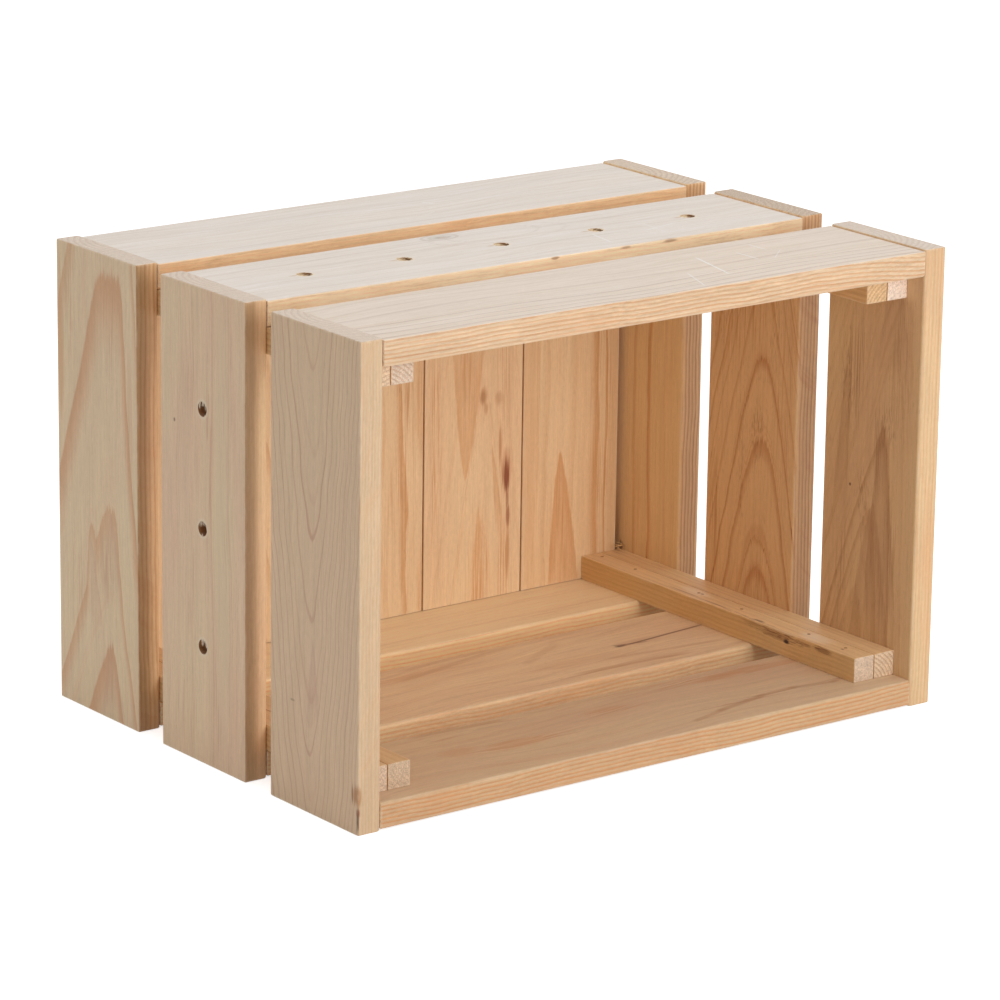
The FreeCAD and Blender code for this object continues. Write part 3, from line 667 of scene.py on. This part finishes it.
woods["bottom_board_middle"] = {
    "straight": True, "tips": (-22, -6, 12, 26), "step": 13, "lean": 0.1, "swing": 7, "late": 0.4,
    "earlyColour": (242, 209, 167), "warmColour": (234, 194, 154), "band": (0.6, 0.93), "outer": 0.4,
    "warmth": 0.9, "streak": 1.2, "edgeLate": 0.5, "edgeLine": (226, 148, 84),
    "edgeTone": (1.08, 1.1, 1.06), "tone": (0.97, 1.0, 1.0),
    "stains": (
        ((87, 0), (4.8, 1.6), 0.95, (84, 38, 6)), ((100, 1), (16, 4), 0.3, (190, 130, 84)),
        ((50, -9), (40, 8), 0.25, (206, 152, 104)), ((-40, 20), (50, 5), 0.25, (204, 150, 100))),
    "threads": (
        ((70, -30), (60, 5), 0.6, (196, 138, 88)), ((-70, 24), (60, 6), 0.35, (192, 134, 86)),
        ((-20, 34), (80, 4), 0.3, (192, 134, 86)), ((20, -12), (90, 6), 0.45, (204, 148, 98))),
    "marks": (
        ((85, -1), (158, 6.5), 1.4, 0.85, (122, 62, 14)), ((82, 3), (106, -2), 0.9, 0.7, (122, 62, 14)),
        ((-58, 16), (50, 38), 3.6, 0.3, (186, 126, 62)), ((-46, 31), (30, 37), 3.0, 0.25, (186, 126, 62)),
        ((30, -27), (120, -30), 3.4, 0.35, (190, 128, 66)),
        ((60, -14), (150, -24), 2.4, 0.3, (190, 128, 66)), ((20, 2), (64, 26), 4.0, 0.22, (186, 130, 72)))}
woods["bottom_board_front"] = {
    "straight": True, "tips": (-26, -12, 8, 20), "step": 14, "swing": 8, "late": 0.3,
    "strengths": (0.7, 0.3, 0.2, 0.7), "outer": 0.3, "warmth": 0.9, "band": (0.6, 0.93),
    "earlyColour": (230, 196, 156), "warmColour": (224, 186, 150), "edge": 2.3, "edgeLate": 0.9,
    "streak": 1.1, "tone": (0.89, 0.9, 0.89), "edgeTone": (0.86, 0.82, 0.75),
    "stains": (
        ((-62, -2), (24, 7), 0.5, (208, 150, 98)), ((-98, 4), (14, 7), 0.45, (208, 150, 98)),
        ((10, 16), (16, 4), 0.45, (208, 150, 100)), ((96, 26), (24, 5), 0.5, (208, 150, 100)),
        ((60, 34), (40, 2), 0.3, (208, 150, 100))),
    "threads": (
        ((-60, -2), (46, 8), 0.7, (200, 138, 86)), ((14, 14), (28, 7), 0.7, (200, 138, 86)),
        ((90, 28), (70, 6), 0.7, (198, 138, 88)), ((100, -14), (70, 3), 0.7, (178, 126, 86)),
        ((10, 32), (130, 5), 0.35, (200, 140, 90)), ((-100, 26), (50, 6), 0.5, (200, 140, 90))),
    "marks": (
        ((34, -27), (66, -19), 2.6, 0.4, (170, 112, 54)),
        ((54, -21), (100, -12), 3.0, 0.45, (164, 104, 48)),
        ((88, -13), (124, -11), 2.6, 0.4, (170, 110, 52)),
        ((112, -11), (148, -17), 2.6, 0.4, (170, 112, 54)),
        ((138, -17), (164, -10), 2.4, 0.35, (170, 112, 54)),
        ((84, 28), (160, 27), 2.6, 0.35, (194, 124, 60)),
        ((108, 23), (160, 24.5), 2.2, 0.4, (198, 124, 60)),
        ((-110, 37), (-40, 33), 2.8, 0.4, (178, 118, 58)))}
woods["back_board_1"] = {"straight": True, "tips": (-18, 4, 20), "step": 14, "earlyColour": honey}
woods["back_board_2"] = {"tips": (60, 10, -50), "step": 60, "middle": -6, "slope": 5, "earlyColour": honey}
woods["back_board_3"] = {
    "straight": True, "tips": (10, 23.5), "strengths": (0.25, 1.0), "step": 15, "swing": 8, "ripple": 1.2,
    "late": 0.62, "band": (0.55, 0.95), "earlyColour": honey, "lateColour": amber, "streak": 0.8,
    "outer": 0.5, "combed": True,
    "threads": (
        ((0, 22), (128, 7), 0.7, (204, 140, 84)), ((20, 32), (60, 3), 0.5, amber),
        ((-60, 12), (50, 5), 0.4, amber))}
woods["back_board_4"] = {
    "tips": (16, -68), "strengths": (0.5, 0.3), "step": 90, "middle": 7, "slope": 7.0, "round": 4,
    "limbs": (1.15, 1.0), "band": (0.86, 0.97), "jag": 5, "late": 0.45, "outer": 0.3, "warmth": 0.8,
    "earlyColour": (247, 216, 174), "warmColour": (243, 206, 165), "lateColour": amber, "streak": 0.9,
    "combed": True,
    "knots": (
        ((7, 6.5), (6.0, 2.8), 0.6, (168, 98, 44)), ((5, 17.5), (5.0, 3.2), 0.4, (190, 128, 86)),
        ((0, 8.5), (4.4, 1.8), 0.4, (178, 108, 52))),
    "tongues": (
        ((-41, -5.7), (104, 14, 0.02, 3.2), 0.75, (222, 168, 114)),
        ((-56, 4), (-90, 7, 0.0, 4.0), 0.5, (226, 168, 110)),
        ((-20, 13), (-60, 3.4, -0.12, 1.8), 0.55, (212, 148, 92))),
    "stains": (
        ((-40, 23.5), (15, 4.2), 0.6, (184, 104, 62)), ((-42, 23.8), (11, 2.7), 0.8, (130, 54, 28)),
        ((-66, 25), (8, 1.6), 0.75, (160, 88, 56)), ((-24, 19), (14, 1.3), 0.6, (190, 120, 72)),
        ((-88, 25), (18, 1.6), 0.6, (196, 126, 72)), ((-56, 24.5), (6, 1.2), 0.6, (158, 92, 58))),
    "threads": (
        ((-92, 4), (42, 9), 0.75, (222, 152, 92)), ((40, -6), (60, 8), 0.55, (212, 150, 94)),
        ((-20, -27), (70, 5), 0.7, (212, 146, 88)), ((-90, 22), (40, 5), 0.65, (210, 142, 86)),
        ((20, 22), (50, 8), 0.4, (200, 142, 96)))}
woods["back_board_5"] = {
    "straight": True, "tips": (21, 27), "strengths": (0.9, 1.0), "step": 18, "late": 0.72,
    # The second stain, along the right edge next to the side wall, is painted shade of that corner
    "stains": (((10, -29), (150, 6), 0.35, (220, 164, 110)), ((0, 31), (150, 4), 0.25, (220, 164, 110))),
    "outer": 0.3, "earlyColour": (246, 214, 171), "warmColour": (243, 206, 162), "lateColour": amber,
    "warmth": 0.8, "streak": 0.7, "combed": True,
    "tongues": (
        ((-33, -7.5), (-110, 14, -0.045, 3.0), 0.9, (220, 162, 108)),
        ((-96, -24), (200, 2.0, 0.0, 1.4), 0.4, amber)),
    "threads": (
        ((0, 22), (120, 10), 0.6, (212, 150, 94)), ((-80, -8), (44, 9), 0.6, (206, 142, 86)),
        ((60, -10), (60, 9), 0.4, (212, 158, 108)))}
woods["back_rail_lower"] = {"tips": (100, 20, -60), "slope": 7, "step": 80}
woods["back_rail_upper"] = {"tips": (60, -10, -100), "slope": 8, "step": 80, "points": -1}
woods["bottom_batten_right"] = {
    "edge": 2.6, "edgeLate": 0.25, "endRings": 0.1, "endColour": (220, 194, 169), "flow": 0.2,
    "tone": (1.14, 1.18, 1.18), "edgeTone": (1.0, 1.03, 1.0),
    "stains": (
        ((-56, -7, 3.6), (15, 2.5, 2.8), 0.5, (140, 86, 46)),
        ((-95, -7, 4.6), (8, 2.5, 1.8), 0.6, (128, 78, 40)),
        ((-77, -7, 4.4), (9, 2.5, 1.4), 0.35, (144, 92, 50)),
        ((-36, -7, 5.2), (12, 2.5, 1.5), 0.4, (144, 90, 48)),
        ((-37, -4.5, 7), (5, 1.3, 3.0), 0.75, (118, 62, 22)),
        ((2, -4, 7), (12, 0.9, 3.0), 0.55, (136, 80, 36)),
        ((30, -3.4, 7), (16, 0.8, 3.0), 0.55, (136, 80, 36)),
        # The two pale patches at -80 and 27 along the top are painted highlights, glare on the batten's top
        # face
        ((-80, 1, 7), (15, 6.4, 3.0), 0.55, (255, 234, 204)),
        ((27, 2.4, 7), (15, 5.6, 3.0), 0.55, (255, 234, 204)),
        ((94, 0, 7), (28, 6.0, 3.0), 0.25, (240, 208, 166)),
        ((-104, -1.2, 7), (1.5, 1.0, 2.0), 0.75, (120, 64, 26)),
        ((21, 2.2, 7), (1.4, 0.9, 2.0), 0.8, (120, 64, 26)),
        # A near-black spot painted where the batten has a hole: painted shade of the hole's inside
        ((-63.5, -7, 2.2), (2.8, 1.8, 1.6), 1.0, (44, 8, 0))),
    "flecks": (
        ((-58, -7, 4.2), (28, 3.0, 3.2), 0.8, (118, 68, 34)),
        ((-94, -7, 4.8), (12, 3.0, 2.0), 0.7, (118, 68, 34)),
        ((-20, -5, 7), (40, 2.2, 3.0), 0.5, (126, 76, 42)))}
woods["right_batten_bottom"] = {
    "endRings": 0.55, "pith": (-16, -14), "flow": 0.2, "tone": (1.09, 1.12, 1.12)}
woods["top_batten_right"] = {"endRings": 0.55, "pith": (16, -18), "endColour": (226, 190, 144)}
woods["right_batten_top"] = {"endRings": 0.15, "endColour": (242, 220, 202)}
woods["top_batten_left"] = {"endRings": 0.45, "pith": (-14, -20), "endColour": (221, 200, 180)}
woods["bottom_batten_left"] = {
    "endRings": 0.2, "pith": (16, 14), "pores": 1.8, "endColour": (214, 187, 158)}
woods["left_batten_bottom"] = {"endRings": 0.16, "pores": 1.8, "endColour": (221, 194, 169)}
battenWood = {
    "straight": True, "tips": (-3, 2), "step": 4.2, "late": 0.45, "outer": 0.7, "band": (0.5, 0.9),
    "edge": 3.0, "edgeLate": 0.4, "edgeLine": (192, 134, 80), "earlyColour": (230, 190, 136),
    "warmColour": (226, 183, 128),
    "lateColour": (192, 134, 80), "ring": 2.2, "swing": 1.2,
    "endRings": 0.4,
}


def dress(node, material):
    piece = nodes[node]
    piece.data.materials.clear()
    piece.data.materials.append(material)


for number, node in enumerate(sorted(nodes)):
    kind = "_".join(node.split("_")[:2])
    if kind in lays:
        base = battenWood if "batten_" in node or "pins" in node else {}
        seed = pineLook["firstSeed"] + number * pineLook["seedStep"]
        dress(node, pine(node, lays[kind], base | woods.get(node, {}), seed))
print("pine finished")


metals = {
    "wire_nail": {"colour": (186, 142, 92), "roughness": 0.55},
    "zinc_screw": {"colour": (206, 198, 168), "roughness": 0.25},
}
metalStain = {"scale": (900, 900, 900), "colour": (96, 84, 70), "dulls": 0.25}


def steel(name):
    metal = metals[name]
    recipe = newRecipe(name)
    stain = recipe.noise(recipe.add("ShaderNodeTexCoord", output=3), metalStain["scale"], 3.0)
    tint = recipe.mix(stain.step(0.45, 0.8), paint(*metal["colour"]), paint(*metalStain["colour"]))
    roughness = metal["roughness"] + stain * metalStain["dulls"]
    shader = recipe.add("ShaderNodeBsdfPrincipled", {}, {
        "Base Color": tint, "Metallic": 1.0, "Roughness": roughness})
    return recipe.surface(shader)


wireNail, zincScrew = steel("wire_nail"), steel("zinc_screw")
for node in nodes:
    if node.endswith("nails"):
        dress(node, wireNail)
    if node.endswith("screws"):
        dress(node, zincScrew)
print("fasteners finished")


splinterSet = {
    "left_hole_splinters": {"seed": 41, "perHole": 10, "length": (2.0, 4.8), "sink": (0.0, 0.12),
                            "rise": (-0.08, 0.01), "tornEnd": 0.85, "colour": (255, 242, 220)},
    "top_hole_splinters": {"seed": 42, "perHole": 26, "length": (2.0, 5.0), "sink": (-0.3, 0.1),
                           "rise": (-0.05, 0.1), "tornEnd": 0.9, "colour": (240, 216, 180)},
}
splinterShape = {
    "radius": 4.0, "wide": (0.35, 1.0), "thick": 0.35, "overlap": 0.25, "rings": 4,
    "across": 0.85, "bend": 0.5, "farEnd": 0.5, "longest": 1.4,
}
shavingSet = {
    "seed": 9, "count": 9, "length": (5.0, 10.0), "wide": (0.6, 1.0), "colour": (255, 222, 172),
    "inward": (1.0, 6.0), "above": (0.8, 4.0), "rise": (-0.1, 0.8), "bend": 1,
}
fibreLook = {
    "scale": (700, 700, 700), "darker": (36, 44, 54), "roughness": 0.6, "dulls": 0.2,
    "bump": 0.4, "bumpDepth": 0.05 * mm,
}


def sliver(mesh, start, forward, aside, outward, length, wide, bend):
    # One torn fibre: a flat strip that tapers to a point and curls away from its root
    rings = []
    for index in range(splinterShape["rings"]):
        share = index / splinterShape["rings"]
        middle = start + forward * (length * share) + aside * (bend * share * share)
        half = wide * (1 - share * 0.75) / 2
        thick = wide * splinterShape["thick"] * (1 - share * 0.7)
        corners = ((half, 0), (0, thick), (-half, 0), (0, -thick))
        rings.append([mesh.verts.new(middle + aside * a + outward * b) for a, b in corners])
    tip = mesh.verts.new(start + forward * length + aside * bend)
    sides = [(index, (index + 1) % len(corners)) for index in range(len(corners))]
    for low, high in zip(rings, rings[1:]):
        for index, following in sides:
            mesh.faces.new((low[index], low[following], high[following], high[index]))
    for index, following in sides:
        mesh.faces.new((rings[-1][index], rings[-1][following], tip))
    mesh.faces.new(rings[0][::-1])


def addPiece(name, mesh, material):
    bmesh.ops.recalc_face_normals(mesh, faces=mesh.faces)
    data = bpy.data.meshes.new(name)
    mesh.to_mesh(data)
    mesh.free()
    data.materials.append(material)
    piece = bpy.data.objects.new(name, data)
    bpy.context.scene.collection.objects.link(piece)
    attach(piece, "root")


def fibreMaterial(name, colour):
    recipe = newRecipe(name)
    tone = recipe.noise(recipe.add("ShaderNodeTexCoord", output=3), fibreLook["scale"], 2.0)
    darker = [part - less for part, less in zip(colour, fibreLook["darker"])]
    tint = recipe.mix(tone.step(0.35, 0.7), paint(*colour), paint(*darker))
    normal = recipe.add("ShaderNodeBump", {}, {
        "Height": tone, "Strength": fibreLook["bump"], "Distance": fibreLook["bumpDepth"]})
    roughness = fibreLook["roughness"] + tone * fibreLook["dulls"]
    shader = recipe.add("ShaderNodeBsdfPrincipled", {}, {
        "Base Color": tint, "Roughness": roughness, "Normal": normal})
    return recipe.surface(shader)


def makeSplinters(name, centres, grainWay, sideWay, outward):
    # Torn fibres round the mouths of a board's dowel holes, just under its face, most at one end
    batch, shape = splinterSet[name], splinterShape
    radius = shape["radius"]
    draw = random.Random(batch["seed"])
    mesh = bmesh.new()
    for centre in centres:
        for _ in range(batch["perHole"]):
            end = 1 if draw.random() < batch["tornEnd"] else -1
            aside = draw.uniform(-shape["across"], shape["across"]) * radius
            reach = math.sqrt(radius ** 2 - aside ** 2)
            wide = draw.uniform(*shape["wide"])
            sink = wide * shape["thick"] + draw.uniform(*batch["sink"])
            start = end * (reach + shape["overlap"])
            root = centre + (grainWay * start + sideWay * aside - outward * sink) * mm
            length = draw.uniform(*batch["length"]) * (1 if end > 0 else shape["farEnd"])
            length = min(length, reach * shape["longest"])
            forward = (-grainWay * end + outward * draw.uniform(*batch["rise"])).normalized()
            bend = draw.uniform(-shape["bend"], shape["bend"])
            sliver(mesh, root, forward, sideWay, outward, length * mm, wide * mm, bend * mm)
    addPiece(name, mesh, fibreMaterial(name + "_fibre", batch["colour"]))


def faceCentres(node, axis, places, face, outward):
    low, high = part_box(node)
    centres = []
    for place in places:
        centre = (low + high) / 2
        centre[axis] += place * mm
        centre[face] = high[face] if outward > 0 else low[face]
        centres.append(centre)
    return centres


axisX, axisY, axisZ = Vector((1, 0, 0)), Vector((0, 1, 0)), Vector((0, 0, 1))
makeSplinters("left_hole_splinters", faceCentres("left_board_middle", 2, leftHoles, 0, -1),
              axisZ, axisY, -axisX)
makeSplinters("top_hole_splinters", faceCentres("top_board_middle", 0, topHoles, 2, 1),
              -axisX, axisY, axisZ)


def makeShavings():
    # Loose fibres left by the saw, lying on the batten in the rear lower corner
    batch = shavingSet
    draw = random.Random(batch["seed"])
    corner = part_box("right_batten_bottom")[1]
    mesh = bmesh.new()
    for _ in range(batch["count"]):
        leftward, forward = draw.uniform(*batch["inward"]), draw.uniform(*batch["inward"])
        root = corner + Vector((-leftward, -forward, draw.uniform(*batch["above"]))) * mm
        heading = draw.uniform(0.0, math.pi / 2)
        rise = draw.uniform(*batch["rise"])
        forward = Vector((-math.cos(heading), -math.sin(heading), rise)).normalized()
        aside = forward.cross(axisZ).normalized()
        length, wide = draw.uniform(*batch["length"]), draw.uniform(*batch["wide"])
        bend = draw.uniform(-batch["bend"], batch["bend"])
        sliver(mesh, root, forward, aside, axisZ, length * mm, wide * mm, bend * mm)
    addPiece("corner_shavings", mesh, fibreMaterial("shaving_fibre", batch["colour"]))


makeShavings()
print("splinters finished")


stageLook = {
    "floor": 0.88, "glow": 0.7, "size": 30.0, "roughness": 0.9,
    "sky": 0.43, "skyColour": (0.99, 0.995, 1.0, 1), "white": (1, 1, 1, 1),
}


def inSight(recipe):
    # 1 for rays from the camera, by way of a mirror or a clear piece too, and 0 for those that light
    ray = recipe.add("ShaderNodeLightPath")
    seen, glossy, through = recipe.outputs(ray, "Is Camera Ray", "Is Glossy Ray", "Is Transmission Ray")
    return seen.larger(glossy).larger(through)


def makeFloor():
    half = stageLook["size"] / 2
    corners = [(-half, -half, 0), (half, -half, 0), (half, half, 0), (-half, half, 0)]
    mesh = bpy.data.meshes.new("floor")
    mesh.from_pydata(corners, [], [(0, 1, 2, 3)])
    floor = bpy.data.objects.new("floor", mesh)
    bpy.context.scene.collection.objects.link(floor)
    recipe = newRecipe("paper_floor")
    shade = stageLook["floor"]
    shader = recipe.add("ShaderNodeBsdfPrincipled", {}, {
        "Base Color": (shade, shade, shade, 1), "Roughness": stageLook["roughness"],
        "Specular IOR Level": 0.0})
    lit = recipe.add("ShaderNodeEmission", {}, {"Color": stageLook["white"], "Strength": stageLook["glow"]})
    both = recipe.add("ShaderNodeAddShader", {}, (shader, lit))
    mixed = recipe.add("ShaderNodeMixShader", {}, {0: inSight(recipe), 1: shader, 2: both})
    mesh.materials.append(recipe.surface(mixed))


def makeWorld():
    world = bpy.data.worlds.new("studio")
    bpy.context.scene.world = world
    recipe = Recipe(world)
    dim = recipe.add("ShaderNodeBackground", {}, {
        "Color": stageLook["skyColour"], "Strength": stageLook["sky"]})
    white = recipe.add("ShaderNodeBackground", {}, {"Color": stageLook["white"], "Strength": 1.0})
    mixed = recipe.add("ShaderNodeMixShader", {}, {0: inSight(recipe), 1: dim, 2: white})
    recipe.surface(mixed, "ShaderNodeOutputWorld")


lamps = {  # places and aims in metres
    "softbox": {"at": (0.14, -1.03, 0.5), "aim": (0.0, -0.1, 0.1), "wide": 0.36, "high": 0.42, "power": 3.0,
                "colour": (1.0, 0.985, 0.965)},
    "front": {"at": (0.3, -3.5, 0.4), "aim": (0.0, 0.0, 0.12), "wide": 0.9, "high": 0.6, "power": 15.5,
              "colour": (1.0, 0.985, 0.96)},
    "ceiling": {"at": (0.1, 0.2, 2.5), "aim": (0.0, 0.0, 0.12), "wide": 2.0, "high": 2.0, "power": 21.0,
                "colour": (1.0, 1.0, 1.0)},
}


def makeLamps():
    for name, lamp in lamps.items():
        data = bpy.data.lights.new(name, "AREA")
        data.shape = "RECTANGLE"
        data.size, data.size_y = lamp["wide"], lamp["high"]
        data.energy = lamp["power"]
        data.color = lamp["colour"]
        thing = bpy.data.objects.new(name, data)
        thing.location = Vector(lamp["at"])
        toward = Vector(lamp["aim"]) - thing.location
        thing.rotation_euler = toward.to_track_quat("-Z", "Y").to_euler()
        bpy.context.scene.collection.objects.link(thing)


cameraSet = {
    "at": (-1.5396, -2.0270, 0.8249), "azimuth": 37.24, "down": 15.62, "roll": 0.79,
    "lens": 175.65, "sensorWide": 36,
}


def makeCamera():
    data = bpy.data.cameras.new("camera")
    data.lens = cameraSet["lens"]
    data.sensor_width = cameraSet["sensorWide"]
    camera = bpy.data.objects.new("camera", data)
    turn = Matrix.Rotation(math.radians(-cameraSet["azimuth"]), 4, "Z")
    tilt = Matrix.Rotation(math.radians(90 - cameraSet["down"]), 4, "X")
    roll = Matrix.Rotation(math.radians(cameraSet["roll"]), 4, "Z")
    camera.matrix_world = Matrix.Translation(cameraSet["at"]) @ turn @ tilt @ roll
    bpy.context.scene.collection.objects.link(camera)
    bpy.context.scene.camera = camera


makeFloor()
makeWorld()
makeLamps()
makeCamera()
bpy.context.scene.view_settings.view_transform = "Standard"
print("stage finished")
